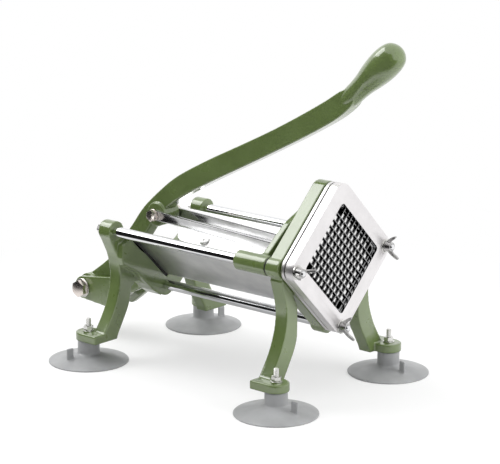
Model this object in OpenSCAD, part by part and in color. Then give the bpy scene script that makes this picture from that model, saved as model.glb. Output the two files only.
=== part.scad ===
// Lever potato cutter. X points out of the cutting head, Y to its left side, Z up.
// The working X coordinate is measured from the cover plate's front face, and every
// piece is then shifted so that the origin lies under the middle of the whole tool.

/* [Cutting head] */
// From the outer cells to the edge of the square cutting opening
opening_rim = 4.05; // [3.8:0.05:6]
// Corner radius of the cutting opening
opening_r = 4.5; // [2:0.5:6]
// Width of the casting round the opening
ring_w = 19; // [17:0.5:24]
// Corner radius of the square outline
corner_r = 15; // [12:0.5:18]
// Height of the opening's centre above the table
axis_z = 154; // [150:1:170]
// Thickness of the green castings, front to back
casting_t = 16.5; // [14:0.5:20]
// Thickness of the blade holder's plate
holder_t = 6; // [5:0.5:8]
// Thickness of the cover plate
cover_t = 12.5; // [11:0.5:15]
// Wall of the holder's collar inside the cover
collar_wall = 2.6; // [2:0.1:3.5]
// How far the collar stops behind the cover's front face
collar_inset = 4.5; // [4:0.5:6]

/* [Blades] */
// Blades each way
blade_count = 9; // [8:1:10]
// Distance from blade to blade
blade_pitch = 8.08; // [7.6:0.01:9]
// Thickness of a blade
blade_t = 0.9; // [0.6:0.1:1.2]
// How far the blades stop behind the cover's front face
blade_inset = 3; // [2:0.5:4]
// Width of a pusher peg
peg_w = 5.4; // [4.5:0.1:5.8]
// How far the pegs stop behind the blades' front edges
peg_inset = 2; // [1:0.5:3]
// Length of a pusher peg
peg_len = 33; // [30:1:36]
// Thickness of the peg plate
peg_plate_t = 6; // [5:0.5:8]
// Clearance round the square peg plate in the opening
peg_plate_gap = 2.45; // [2:0.05:3.5]

/* [Guide rods] */
// Diameter of the guide rods
rod_d = 12; // [10:0.5:14]
// Diameter of their threaded ends
thread_d = 6; // [5:0.5:8]
// Distance of the rods outside the opening's corners
rod_offset = 13.8; // [13:0.1:15]
// Bare length of the side rods
rod_span = 232.5; // [220:0.5:245]
// Radius of the front casting's rod bosses
boss_r = 11; // [9.5:0.5:11.5]
// Radius of the rear casting's rod bosses
rear_boss_r = 12; // [10.5:0.5:12.5]
// How far the front bosses stand back from the casting
boss_h = 1; // [0.5:0.5:6]
// How far the rear bosses stand forward of the casting
rear_boss_h = 1; // [0.5:0.5:6]
// Across the flats of the rods' rear nuts
rod_nut_af = 13; // [12:0.5:15]
// Thickness of the rods' rear nuts
rod_nut_h = 6; // [5:0.5:8]
// Radius of the washers on the rods
rod_washer_r = 7.8; // [7:0.1:9]
// Thickness of the washers on the rods
rod_washer_t = 1.2; // [1:0.1:2]

/* [Legs] */
// Half the distance between the feet
foot_y = 98; // [92:1:106]
// Distance of each foot's stud outside its leg's mid plane
foot_offset = 17; // [15:0.5:20]
// Height of the foot pads above the table
pad_z = 26; // [24:0.5:30]
// Thickness of the foot pads
pad_t = 10; // [8:0.5:12]
// Radius of the foot pad's round end
pad_r = 14.5; // [13:0.5:16]
// Half width between the pads' inner edges
pad_inner_y = 76; // [74:1:78]

/* [Rear casting] */
// Height that the raised V plate stands forward of the rear casting
raised_t = 7; // [5:0.5:9]
// Height of the web's top edge in the middle
web_top_z = 116; // [108:1:118]
// Height of the web's bottom edge beside the tongue
web_bottom_z = 88; // [84:1:92]
// Radius of the tongue round the bottom rod
tongue_r = 13.2; // [12:0.2:14]
// Half the gap between the pivot ears
ear_gap_half = 13.3; // [13:0.1:15]
// Thickness of each pivot ear
ear_t = 8.7; // [7:0.1:10]
// Radius of the pivot ears' round ends
ear_r = 14; // [12.5:0.5:15]

/* [Lever] */
// Distance of the lever's pivot behind the rear casting
pivot_back = 95; // [90:1:100]
// Height of the lever's pivot
pivot_z = 56; // [54:1:58]
// Distance from the lever's pivot to the link pivot
crank_r = 155.8; // [150:0.2:160]
// Angle of that line above the table, at rest
crank_angle = 43.26; // [42:0.1:45]
// Swing of the lever from rest to fully back
swing = 58; // [50:1:58]
// Distance from the lever's pivot to the handle's tip, along X
lever_reach = 453.2; // [445:0.2:465]
// Rise from the lever's pivot to the handle's tip
lever_rise = 334.8; // [328:0.2:340]
// Thickness of the lever's arm
lever_t = 18; // [16:0.5:20]
// Half the depth of the lever's arm
lever_half = 11.6; // [10.5:0.1:13]
// Radius of the lever's eye at the pivot
eye_r = 16; // [14:0.5:17]
// Width of the lever's bosses, side to side
lever_boss_w = 26; // [25:0.5:26.4]
// Widest radius of the round handle
knob_r = 17.1; // [15:0.1:19]
// Length of the round handle
knob_len = 94; // [85:1:105]
// Angle of the round handle above the table
knob_angle = 42.4; // [38:0.2:46]
// Radius of the link boss on the lever
link_boss_r = 14; // [12:0.5:16]
// Diameter of the lever's pivot bolt
pivot_d = 12; // [10:0.5:13]
// Wall of the bush round the pivot bolt
bush_wall = 1.8; // [1.5:0.1:2.5]
// Across the flats of the pivot bolt's head and nut
pivot_af = 18; // [17:0.5:19]
// Thickness of the pivot bolt's head
pivot_head_h = 7.5; // [6:0.5:9]
// Thickness of the pivot bolt's nut
pivot_nut_h = 9; // [8:0.5:11]
// Radius of the pivot bolt's washers
pivot_washer_r = 11.5; // [11:0.5:12.5]
// Thickness of the pivot bolt's washers
pivot_washer_t = 1.8; // [1.4:0.1:2.4]

/* [Links] */
// Height of a link bar
link_h = 11; // [10:0.5:12]
// Thickness of a link bar
link_t = 3.5; // [3:0.5:4.5]
// Diameter of the link bolts
link_bolt_d = 8; // [6:0.5:8]
// Across the flats of the link bolts' heads and nuts
link_bolt_af = 12; // [11:0.5:12]
// Thickness of the link bolts' heads
link_head_h = 5.5; // [4:0.5:7]
// Thickness of the link bolts' nuts
link_nut_h = 6; // [5:0.5:7]

/* [Pusher] */
// Thickness of the pusher carriage's plate
carriage_t = 8; // [7:0.5:9]
// Length of the carriage's sleeves on the rods
sleeve_len = 43.5; // [38:0.5:50]
// Gap between the sleeves and the front casting, at rest
sleeve_gap = 1.8; // [1:0.1:4]
// Radius of the carriage's sleeves
sleeve_r = 11; // [10:0.5:11.5]
// Wall of the bush in each sleeve
sleeve_bush_wall = 1.6; // [1.2:0.1:2]
// Distance of the link bolt behind the carriage's plate
lug_offset = 16; // [15:0.5:18]
// Thickness of each lug on the carriage
lug_t = 8; // [6:0.5:9]
// Wall of the lugs round their slot
lug_wall = 5.5; // [4:0.5:7]
// Room round the link bolt in the lugs' slot
slot_play = 2.2; // [2:0.1:3]

/* [Trough] */
// Thickness of the trough's sheet
trough_t = 1.5; // [1:0.1:2]
// Radius of the trough's bottom fold, outside
trough_fold_r = 2.5; // [2:0.5:4]

/* [Feet] */
// Radius of a suction cup
cup_r = 46.4; // [42:0.2:48]
// Height of a suction cup's cone
cup_h = 9.5; // [8:0.5:11]
// Radius of a suction cup's post
post_r = 12.6; // [11.5:0.1:13.5]
// Diameter of the foot studs
stud_d = 6; // [5:0.5:7]
// Length of stud above the foot pad
stud_up = 15; // [13:0.5:18]
// Across the flats of the foot nuts
foot_nut_af = 10; // [9:0.5:11]
// Thickness of the foot nuts
foot_nut_h = 5; // [4:0.5:6]
// Radius of the foot washers
foot_washer_r = 6.5; // [6:0.5:8]
// Thickness of the foot washers
foot_washer_t = 1.2; // [1:0.1:1.6]

/* [Hidden] */
$fn = 64;
// Running clearance of a shaft in its bore, on the radius
run_gap = 0.05;
// Clearance of a bolt in its hole, on the radius
hole_gap = 0.2;
// Clearance between faces that slide past each other
face_gap = 0.3;
// Clearance between a nut or a washer and what it clamps
seat_gap = 0.05;
// Overrun of cuts past the faces that they open
cut = 1;

// Outline of the head
opening_side = (blade_count + 1) * blade_pitch + 2 * opening_rim;
peg_plate_side = opening_side - 2 * peg_plate_gap;
half_open = opening_side / sqrt(2);
side = opening_side + 2 * ring_w;
rod_y = half_open + rod_offset;
rod_low_z = axis_z - rod_y;

// Stations along X
holder_back = -cover_t - holder_t;
ring_back = holder_back - casting_t;
front_boss_back = ring_back - boss_h;
rear_boss_front = front_boss_back - rod_span;
rear_face = rear_boss_front - rear_boss_h;
raised_face = rear_face + raised_t;
rear_back = rear_face - casting_t;
front_foot_x = holder_back - casting_t / 2 + foot_offset;
rear_foot_x = rear_back + casting_t / 2 - foot_offset;
blade_front = -blade_inset;
peg_front = blade_front - peg_inset;
peg_back = peg_front - peg_len;
peg_plate_back = peg_back - peg_plate_t;
carriage_back = peg_plate_back - carriage_t;
sleeve_front = front_boss_back - sleeve_gap;

// Linkage at rest
pivot_x = rear_back - pivot_back;
link_x = pivot_x + crank_r * cos(crank_angle);
link_z = pivot_z + crank_r * sin(crank_angle);
push_x = carriage_back - lug_offset;
push_z = axis_z;
link_len = norm([push_x - link_x, push_z - link_z]);
tip_x = pivot_x + lever_reach;
tip_z = pivot_z + lever_rise;
knob_dir = [cos(knob_angle), sin(knob_angle)];

// The link bolt's place beside its true place in the lugs, when the bars and the
// pusher turn and slide at steady rates while the lever swings back by an angle
function crank_at(a) = [pivot_x + crank_r * cos(crank_angle + a), pivot_z + crank_r * sin(crank_angle + a)];
function tilt_at(a) = asin((push_z - crank_at(a)[1]) / link_len);
function slide_at(a) = crank_at(a)[0] + link_len * cos(tilt_at(a)) - push_x;
function steady_tilt(a) = tilt_at(0) + (tilt_at(swing) - tilt_at(0)) * a / swing;
function miss_at(a) = [
    crank_at(a)[0] + link_len * cos(steady_tilt(a)) - push_x - slide_at(swing) * a / swing,
    crank_at(a)[1] + link_len * sin(steady_tilt(a)) - push_z];
slot_top = miss_at(swing / 2);
slot_r = link_bolt_d / 2 + slot_play;

// Shares of foot_y and axis_z along the outside of a leg, from the top down
leg_outer_shares = [[0.815, 0.905], [0.785, 0.845], [0.755, 0.785], [0.732, 0.72], [0.724, 0.65],
                    [0.735, 0.57], [0.768, 0.49], [0.82, 0.41], [0.895, 0.325], [0.985, 0.24]];
// Shares of foot_y and axis_z along the inside of a leg, from the pad up
leg_inner_shares = [[0.752, 0.21], [0.672, 0.295], [0.588, 0.39], [0.546, 0.465], [0.534, 0.54],
                    [0.536, 0.63]];
// Shares of foot_y and axis_z along the outside of a rear arm, from the boss down
arm_outer_shares = [[0.88, 0.955], [0.85, 0.92], [0.812, 0.872], [0.776, 0.825], [0.748, 0.765]];
// Shares of rod_y along Y, and of the rise from the web's top to the rod, along a rear arm's inside
arm_inner_shares = [[0, 0], [0.22, 0.01], [0.37, 0.07], [0.5, 0.2], [0.64, 0.44], [0.76, 0.72], [0.88, 0.98]];
// Shares of lever_reach and lever_rise along the middle of the lever's arm, from the pivot up,
// with half its depth there as a share of lever_half
lever_shares = [[0, 0, 1.15], [0.0827, 0.088, 1], [0.131, 0.167, 0.95], [0.177, 0.244, 0.94],
                [0.216, 0.3115, 0.93], [0.2745, 0.382, 0.95], [0.335, 0.439, 1.03],
                [0.434, 0.511, 1.04], [0.534, 0.578, 1.01], [0.631, 0.644, 0.98], [0.723, 0.71, 1],
                [0.808, 0.776, 1.01], [0.852, 0.818, 0.93], [0.869, 0.838, 0.7],
                [0.885, 0.858, 0.4]];
// Shares of the knob's length and of its widest radius, from its foot to its tip
knob_shares = [[0, 0.56], [0.1, 0.655], [0.23, 0.68], [0.356, 0.75], [0.484, 0.877], [0.612, 0.97], [0.718, 1],
               [0.824, 0.965], [0.912, 0.836], [0.963, 0.595], [0.9915, 0.295], [1, 0]];

// A smooth curve through a list of points, in the given number of steps a span
function curve_point(p, i, t) =
    let (a = p[max(i - 1, 0)], b = p[i], c = p[i + 1], d = p[min(i + 2, len(p) - 1)])
    0.5 * (2 * b + (c - a) * t + (2 * a - 5 * b + 4 * c - d) * t * t + (3 * b - a - 3 * c + d) * t * t * t);
function smooth(p, steps) = concat(
    [for (i = [0 : len(p) - 2]) for (k = [0 : steps - 1]) curve_point(p, i, k / steps)], [p[len(p) - 1]]);
knob_outline = [for (p = smooth(knob_shares, 3)) [max(p[1], 0) * knob_r, p[0] * knob_len]];

// Origin under the middle of the whole tool, from the lever's eye to the front of its handle
knob_fronts = [for (p = knob_outline) (p[1] - knob_len) * knob_dir[0] + p[0] * knob_dir[1]];
mid_x = (pivot_x - eye_r + tip_x + max(knob_fronts)) / 2;

function mirrored(p) = [for (i = [len(p) - 1 : -1 : 0]) [-p[i][0], p[i][1]]];

// Helpers
module placed() { translate([-mid_x, 0, 0]) children(); }
module along_x(x0, x1) { translate([x0, 0, 0]) rotate([90, 0, 90]) linear_extrude(x1 - x0) children(); }
module along_y(y0, y1) { translate([0, y1, 0]) rotate([90, 0, 0]) linear_extrude(y1 - y0) children(); }
module rod_x(x0, x1, r, y, z) { translate([x0, y, z]) rotate([0, 90, 0]) cylinder(r = r, h = x1 - x0); }
module rod_along_y(y0, y1, r, x, z) { translate([x, y0, z]) rotate([-90, 0, 0]) cylinder(r = r, h = y1 - y0); }
module diamond(s, r) {
    rotate(45) {
        square([s - 2 * r, s], center = true);
        square([s, s - 2 * r], center = true);
        for (x = [-1, 1]) for (y = [-1, 1]) translate([x * (s / 2 - r), y * (s / 2 - r)]) circle(r);
    }
}
module at_rods() {
    for (p = [[-rod_y, axis_z], [rod_y, axis_z], [0, rod_low_z]]) translate([0, p[0], p[1]]) children();
}
module hexagon(af) { circle(r = af / sqrt(3), $fn = 6); }
module washer_x(x0, t, r, hole_r) {
    translate([x0, 0, 0]) rotate([0, 90, 0]) difference() {
        cylinder(r = r, h = t);
        translate([0, 0, -cut]) cylinder(r = hole_r, h = t + 2 * cut);
    }
}
module washer_along_y(y0, t, r, hole_r, x, z) {
    difference() {
        rod_along_y(y0, y0 + t, r, x, z);
        rod_along_y(y0 - cut, y0 + t + cut, hole_r, x, z);
    }
}
module both_sides() {
    children();
    mirror([0, 1, 0]) children();
}

// Castings
module leg_profile() {
    outer = smooth([for (s = leg_outer_shares) [s[0] * foot_y, s[1] * axis_z]], 4);
    inner = smooth([for (s = leg_inner_shares) [s[0] * foot_y, s[1] * axis_z]], 4);
    polygon(concat([[rod_y, axis_z]], outer, [[foot_y, pad_z], [pad_inner_y, pad_z]], inner,
                   [[inner[len(inner) - 1][0], inner[len(inner) - 1][1] + boss_r]]));
}
module foot_pad(x0, x1, stud_x) {
    outer_y = foot_y + pad_r;
    translate([0, 0, pad_z]) linear_extrude(pad_t) {
        translate([stud_x, foot_y]) circle(pad_r);
        translate([x0, pad_inner_y]) square([x1 - x0, outer_y - pad_inner_y]);
        translate([min(x0, stud_x), foot_y - pad_r])
            square([max(x1, stud_x) - min(x0, stud_x), 2 * pad_r]);
    }
}
module stud_holes(stud_x) {
    for (y = [-foot_y, foot_y]) translate([stud_x, y, pad_z - cut])
        cylinder(r = stud_d / 2 + hole_gap, h = pad_t + 2 * cut);
}
module front_casting() {
    color("darkolivegreen") placed() difference() {
        union() {
            along_x(ring_back, holder_back) translate([0, axis_z]) diamond(side, corner_r);
            at_rods() rod_x(front_boss_back, holder_back, boss_r, 0, 0);
            both_sides() {
                along_x(ring_back, holder_back) leg_profile();
                foot_pad(ring_back, holder_back, front_foot_x);
            }
        }
        along_x(ring_back - boss_h - cut, holder_back + cut) translate([0, axis_z])
            diamond(opening_side, opening_r);
        at_rods() rod_x(front_boss_back - cut, holder_back + cut, thread_d / 2 + hole_gap, 0, 0);
        stud_holes(front_foot_x);
    }
}
// Shares of tongue_r, across and down, where the web's lower edge meets the tongue
tongue_shares = [0.75, 0.66];
module rear_half_profile() {
    outer_shares = concat(arm_outer_shares, [for (i = [3 : 9]) leg_outer_shares[i]]);
    arm_outer = smooth([for (s = outer_shares) [s[0] * foot_y, s[1] * axis_z]], 4);
    inner_shares = [for (i = [0 : 4]) leg_inner_shares[i]];
    leg_inner = smooth([for (s = inner_shares) [s[0] * foot_y, s[1] * axis_z]], 4);
    arm_inner = smooth([for (s = arm_inner_shares) [s[0] * rod_y, web_top_z + s[1] * (axis_z - web_top_z)]], 3);
    web_turn = tongue_r / 2;
    polygon(concat(arm_inner, [[rod_y, axis_z]], arm_outer, [[foot_y, pad_z], [pad_inner_y, pad_z]], leg_inner,
                   [[leg_inner[len(leg_inner) - 1][0] - web_turn, web_bottom_z],
                    [axis_z - web_bottom_z - 2 * web_turn - tongue_r, web_bottom_z],
                    [tongue_r * tongue_shares[0], rod_low_z - tongue_r * tongue_shares[1]], [0, rod_low_z]]));
}
// Shares of the V plate's outline: Y as a share of rod_y, height as a share of the rise from the rod
raised_shares = [[0.955, 0.79], [0.975, 0.6], [0.94, 0.48], [0.65, 0.31], [0.29, -0.04], [0.13, -0.147]];
// Share of the V plate's outer end at which the arm's curve leaves it
raised_end_share = 0.8;
module raised_half_profile() {
    rise = axis_z - rod_low_z;
    arm_inner = smooth([for (s = arm_inner_shares) [s[0] * rod_y, web_top_z + s[1] * (axis_z - web_top_z)]], 3);
    polygon(concat([for (p = arm_inner) if (p[0] < raised_shares[0][0] * rod_y * raised_end_share) p],
                   [for (s = raised_shares) [s[0] * rod_y, rod_low_z + s[1] * rise]], [[0, rod_low_z]]));
}
// Shares of pivot_back and of pivot_z at the corners of a pivot ear
ear_shares = [[0, 1.25], [1, 1.5], [1, 1.29], [0.82, 1.13], [0.49, 0.69], [0.02, 0.75]];
module ear_profile() {
    translate([pivot_x, pivot_z]) circle(ear_r);
    polygon([for (s = ear_shares) [pivot_x + s[0] * pivot_back + s[0] * cut, s[1] * pivot_z]]);
}
module rear_casting() {
    color("darkolivegreen") placed() difference() {
        union() {
            both_sides() {
                along_x(rear_back, rear_face) rear_half_profile();
                along_x(rear_back, raised_face) raised_half_profile();
                foot_pad(rear_back, rear_face, rear_foot_x);
                along_y(ear_gap_half, ear_gap_half + ear_t) ear_profile();
            }
            for (y = [-rod_y, rod_y]) rod_x(rear_back, rear_boss_front, rear_boss_r, y, axis_z);
            rod_x(rear_back, raised_face, tongue_r, 0, rod_low_z);
        }
        at_rods() rod_x(rear_back - cut, max(rear_boss_front, raised_face) + cut,
                        thread_d / 2 + hole_gap, 0, 0);
        rod_along_y(-ear_gap_half - ear_t - cut, ear_gap_half + ear_t + cut, pivot_d / 2 + hole_gap,
                    pivot_x, pivot_z);
        stud_holes(rear_foot_x);
    }
}

// Guide rods, their washers and nuts
wing_hub_h = 7.5;
thread_end = 1.5;
front_seat = rod_washer_t + 2 * seat_gap;
rod_front_end = front_seat + wing_hub_h + thread_end;
rod_rear_end = rear_back - rod_washer_t - 2 * seat_gap - rod_nut_h - thread_end;
module guide_rod(y, z, rear_shoulder) {
    color("lightgray") placed() {
        rod_x(rear_shoulder, front_boss_back, rod_d / 2, y, z);
        rod_x(rod_rear_end, rod_front_end, thread_d / 2, y, z);
    }
}
module guide_rod_left() { guide_rod(rod_y, axis_z, rear_boss_front); }
module guide_rod_right() { guide_rod(-rod_y, axis_z, rear_boss_front); }
module guide_rod_bottom() { guide_rod(0, rod_low_z, raised_face); }
module rod_rear_nuts() {
    color("silver") placed() at_rods() difference() {
        along_x(rod_rear_end + thread_end, rod_rear_end + thread_end + rod_nut_h) hexagon(rod_nut_af);
        rod_x(rod_rear_end, rear_back, thread_d / 2 + run_gap, 0, 0);
    }
}
module rod_washers() {
    color("silver") placed() at_rods() {
        washer_x(rear_back - seat_gap - rod_washer_t, rod_washer_t, rod_washer_r, thread_d / 2 + hole_gap);
        washer_x(seat_gap, rod_washer_t, rod_washer_r, thread_d / 2 + hole_gap);
    }
}

// Cutting head
collar_out = opening_side - 2 * face_gap;
collar_in = collar_out - 2 * collar_wall;
collar_front = -collar_inset;
blade_len = collar_out - 2 * face_gap;
blade_back = holder_back + seat_gap;
blade_depth = blade_front - blade_back;
blade_slot = blade_t + 2 * run_gap;
module blade_holder() {
    color("gainsboro") placed() difference() {
        union() {
            along_x(holder_back + seat_gap, holder_back + holder_t)
                translate([0, axis_z]) diamond(side, corner_r);
            along_x(holder_back + seat_gap, collar_front) translate([0, axis_z]) diamond(collar_out, opening_r);
        }
        along_x(holder_back - cut, collar_front + cut) translate([0, axis_z])
            diamond(collar_in, opening_r - collar_wall / 2);
        at_rods() rod_x(holder_back - cut, 0, thread_d / 2 + hole_gap, 0, 0);
        translate([0, 0, axis_z]) rotate([45, 0, 0]) for (turn = [0, 90]) rotate([turn, 0, 0])
            for (i = [0 : blade_count - 1])
                translate([holder_back - cut, -blade_len / 2 - run_gap,
                           (i - (blade_count - 1) / 2) * blade_pitch - blade_slot / 2])
                    cube([collar_front - holder_back + 2 * cut, blade_len + 2 * run_gap, blade_slot]);
    }
}
// One strip, drawn lengthwise, with half-depth notches where the other set crosses
function comb(from_front) = let (
    base = from_front ? blade_back : blade_front,
    edge = from_front ? blade_front : blade_back,
    mid = (blade_front + blade_back) / 2 + (from_front ? -run_gap : run_gap))
    concat([[-blade_len / 2, base], [-blade_len / 2, edge]],
           [for (i = [0 : blade_count - 1]) let (c = (i - (blade_count - 1) / 2) * blade_pitch)
                for (q = [[-1, edge], [-1, mid], [1, mid], [1, edge]]) [c + q[0] * blade_slot / 2, q[1]]],
           [[blade_len / 2, edge], [blade_len / 2, base]]);
module blade_set(turn, from_front) {
    color("whitesmoke") placed() translate([0, 0, axis_z]) rotate([turn, 0, 0])
        for (i = [0 : blade_count - 1])
            translate([0, 0, (i - (blade_count - 1) / 2) * blade_pitch - blade_t / 2])
                linear_extrude(blade_t) polygon([for (p = comb(from_front)) [p[1], p[0]]]);
}
module blades_rising() { blade_set(45, true); }
module blades_falling() { blade_set(-45, false); }
module cover_plate() {
    color("whitesmoke") placed() difference() {
        along_x(-cover_t + seat_gap, 0) translate([0, axis_z]) diamond(side, corner_r);
        along_x(-cover_t - cut, cut) translate([0, axis_z]) diamond(opening_side, opening_r);
        at_rods() rod_x(-cover_t - cut, cut, thread_d / 2 + hole_gap, 0, 0);
    }
}

// Wing nuts
hub_r = 6.2;
hub_top_r = 5;
wing_reach = 14;
wing_t = 2.6;
// Shares of the wing's reach and of the hub's height round a wing
wing_shares = [[0.3, 0.12], [0.5, 0.3], [0.7, 0.7], [0.87, 1.2], [0.97, 1.6], [1, 1.85], [0.94, 1.96],
               [0.84, 1.88], [0.71, 1.58], [0.57, 1.18], [0.43, 0.95], [0.3, 0.9]];
module wing_nut(y, z, turn) {
    color("silver") placed() translate([front_seat, y, z]) rotate([turn, 0, 0]) difference() {
        union() {
            rotate([0, 90, 0]) cylinder(r1 = hub_r, r2 = hub_top_r, h = wing_hub_h);
            both_sides() translate([0, 0, -wing_t / 2]) linear_extrude(wing_t)
                polygon([for (p = smooth(wing_shares, 3)) [p[1] * wing_hub_h, p[0] * wing_reach]]);
        }
        rod_x(-cut, wing_hub_h + cut, thread_d / 2 + run_gap, 0, 0);
    }
}
module wing_nut_left() { wing_nut(rod_y, axis_z, 101); }
module wing_nut_right() { wing_nut(-rod_y, axis_z, 9); }
module wing_nut_bottom() { wing_nut(0, rod_low_z, 102); }

// Trough between the castings
module trough_sheet(x0, x1) {
    inner_low = axis_z - half_open;
    drop = trough_t * sqrt(2);
    along_x(x0, x1) difference() {
        polygon([[-half_open - trough_t / sqrt(2), axis_z - trough_t / sqrt(2)],
                 [-trough_fold_r, inner_low - drop + trough_fold_r],
                 [0, inner_low - drop + trough_fold_r * (sqrt(2) - 1)],
                 [trough_fold_r, inner_low - drop + trough_fold_r],
                 [half_open + trough_t / sqrt(2), axis_z - trough_t / sqrt(2)],
                 [half_open, axis_z], [-half_open, axis_z]]);
        polygon([[-half_open - cut, axis_z + cut], [0, inner_low], [half_open + cut, axis_z + cut]]);
    }
}
// Shares of the way back to the rear casting's back, and of half_open across, round the part of a wall
// that lies over the rear casting
ledge_shares = [[0, 0.5], [0.38, 0.509], [0.585, 0.541], [1, 0.7], [1, 1.03], [0, 1.03]];
module trough() {
    rear_end = raised_face + seat_gap;
    ledge = [for (s = ledge_shares) [rear_end - s[0] * (rear_end - rear_back), s[1] * half_open]];
    color("gainsboro") placed() {
        trough_sheet(rear_end, ring_back - seat_gap);
        intersection() {
            trough_sheet(rear_back, rear_end + cut);
            both_sides() linear_extrude(axis_z + cut)
                polygon(concat([[rear_end + cut, ledge[0][1]]], ledge, [[rear_end + cut, ledge[5][1]]]));
        }
    }
}

// Suction feet
cup_rim_t = 1.8;
cup_hollow = 3;
cup_rim_w = 3;
stud_depth = 10;
tab_in = 21.5;
tab_len = 9;
tab_t = 2.6;
tab_top = 19.5;
// Shares of cup_r and of cup_h along the top of a cup, from its rim in
cup_shares = [[0.8, 0.48], [0.55, 0.74]];
// Shares of cup_r and of cup_hollow at the bend of the hollow underneath
hollow_share = [0.5, 0.9];
// Radius where the post meets the cup as a share of post_r
post_root_share = 1.12;
module suction_cup(x, y, tab_turn) {
    color("darkgray") placed() translate([x, y, 0]) difference() {
        union() {
            rotate_extrude() polygon(concat(
                [[0, cup_hollow], [cup_r * hollow_share[0], cup_hollow * hollow_share[1]],
                 [cup_r - cup_rim_w, 0], [cup_r, 0], [cup_r, cup_rim_t]],
                [for (p = cup_shares) [cup_r * p[0], cup_h * p[1]]],
                [[post_r * post_root_share, cup_h], [post_r, cup_h + cup_rim_t],
                 [post_r, pad_z - seat_gap], [0, pad_z - seat_gap]]));
            rotate(tab_turn) translate([tab_in, -tab_t / 2, cup_hollow])
                cube([tab_len, tab_t, tab_top - cup_hollow]);
        }
        translate([0, 0, pad_z - stud_depth]) cylinder(r = stud_d / 2 + run_gap, h = stud_depth + cut);
    }
}
module suction_cup_front_right() { suction_cup(front_foot_x, -foot_y, 0); }
module suction_cup_front_left() { suction_cup(front_foot_x, foot_y, -15); }
module suction_cup_rear_right() { suction_cup(rear_foot_x, -foot_y, -100); }
module suction_cup_rear_left() { suction_cup(rear_foot_x, foot_y, 75); }
module at_feet() {
    for (x = [front_foot_x, rear_foot_x]) for (y = [-foot_y, foot_y]) translate([x, y, 0]) children();
}
pad_top = pad_z + pad_t;
module foot_studs() {
    color("silver") placed() at_feet() translate([0, 0, pad_z - stud_depth + seat_gap])
        cylinder(r = stud_d / 2, h = stud_depth + pad_t + stud_up);
}
module foot_washers() {
    color("silver") placed() at_feet() translate([0, 0, pad_top + seat_gap]) difference() {
        cylinder(r = foot_washer_r, h = foot_washer_t);
        translate([0, 0, -cut]) cylinder(r = stud_d / 2 + hole_gap, h = foot_washer_t + 2 * cut);
    }
}
module foot_nuts() {
    color("silver") placed() at_feet() translate([0, 0, pad_top + foot_washer_t + 2 * seat_gap]) difference() {
        linear_extrude(foot_nut_h) hexagon(foot_nut_af);
        translate([0, 0, -cut]) cylinder(r = stud_d / 2 + run_gap, h = foot_nut_h + 2 * cut);
    }
}

// Pivot of the lever
ear_out = ear_gap_half + ear_t;
pivot_seat = ear_out + pivot_washer_t + 2 * seat_gap;
pivot_end = pivot_seat + pivot_nut_h + thread_end;
module hex_along_y(y0, y1, af, x, z) { along_y(y0, y1) translate([x, z]) rotate(30) hexagon(af); }
module pivot_bolt() {
    color("silver") placed() {
        rod_along_y(-pivot_seat - seat_gap, pivot_end, pivot_d / 2, pivot_x, pivot_z);
        hex_along_y(-pivot_seat - pivot_head_h, -pivot_seat, pivot_af, pivot_x, pivot_z);
    }
}
module pivot_nut() {
    color("silver") placed() difference() {
        hex_along_y(pivot_seat, pivot_seat + pivot_nut_h, pivot_af, pivot_x, pivot_z);
        rod_along_y(pivot_seat - cut, pivot_end, pivot_d / 2 + run_gap, pivot_x, pivot_z);
    }
}
module pivot_washers() {
    color("silver") placed() both_sides()
        washer_along_y(ear_out + seat_gap, pivot_washer_t, pivot_washer_r, pivot_d / 2 + hole_gap,
                       pivot_x, pivot_z);
}

// Lever
bush_in = pivot_d / 2 + run_gap;
bush_out = bush_in + bush_wall;
function lever_mid(i) = [pivot_x + lever_shares[i][0] * lever_reach, pivot_z + lever_shares[i][1] * lever_rise];
function unit(v) = v / norm(v);
module lever_profile() {
    path = smooth([for (i = [0 : len(lever_shares) - 1])
                       [lever_mid(i)[0], lever_mid(i)[1], lever_shares[i][2] * lever_half]], 4);
    last = len(path) - 1;
    sides = [for (i = [0 : last]) let (
                 t = unit([path[min(i + 1, last)][0] - path[max(i - 1, 0)][0],
                           path[min(i + 1, last)][1] - path[max(i - 1, 0)][1]]))
             [[path[i][0] - t[1] * path[i][2], path[i][1] + t[0] * path[i][2]],
              [path[i][0] + t[1] * path[i][2], path[i][1] - t[0] * path[i][2]]]];
    polygon(concat([for (s = sides) s[0]], [for (i = [last : -1 : 0]) sides[i][1]]));
}
module knob() {
    translate([tip_x - knob_len * knob_dir[0], 0, tip_z - knob_len * knob_dir[1]])
        rotate([0, 90 - knob_angle, 0]) rotate_extrude() polygon(concat([[0, 0]], knob_outline));
}
module lever() {
    color("darkolivegreen") placed() difference() {
        union() {
            along_y(-lever_t / 2, lever_t / 2) lever_profile();
            knob();
            rod_along_y(-lever_boss_w / 2, lever_boss_w / 2, eye_r, pivot_x, pivot_z);
            rod_along_y(-lever_boss_w / 2, lever_boss_w / 2, link_boss_r, link_x, link_z);
        }
        rod_along_y(-lever_boss_w / 2 - cut, lever_boss_w / 2 + cut, bush_out + run_gap, pivot_x, pivot_z);
        rod_along_y(-lever_boss_w / 2 - cut, lever_boss_w / 2 + cut, link_bolt_d / 2 + hole_gap,
                    link_x, link_z);
    }
}
module pivot_bush() {
    color("goldenrod") placed()
        washer_along_y(-lever_boss_w / 2, lever_boss_w, bush_out, bush_in, pivot_x, pivot_z);
}

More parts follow.
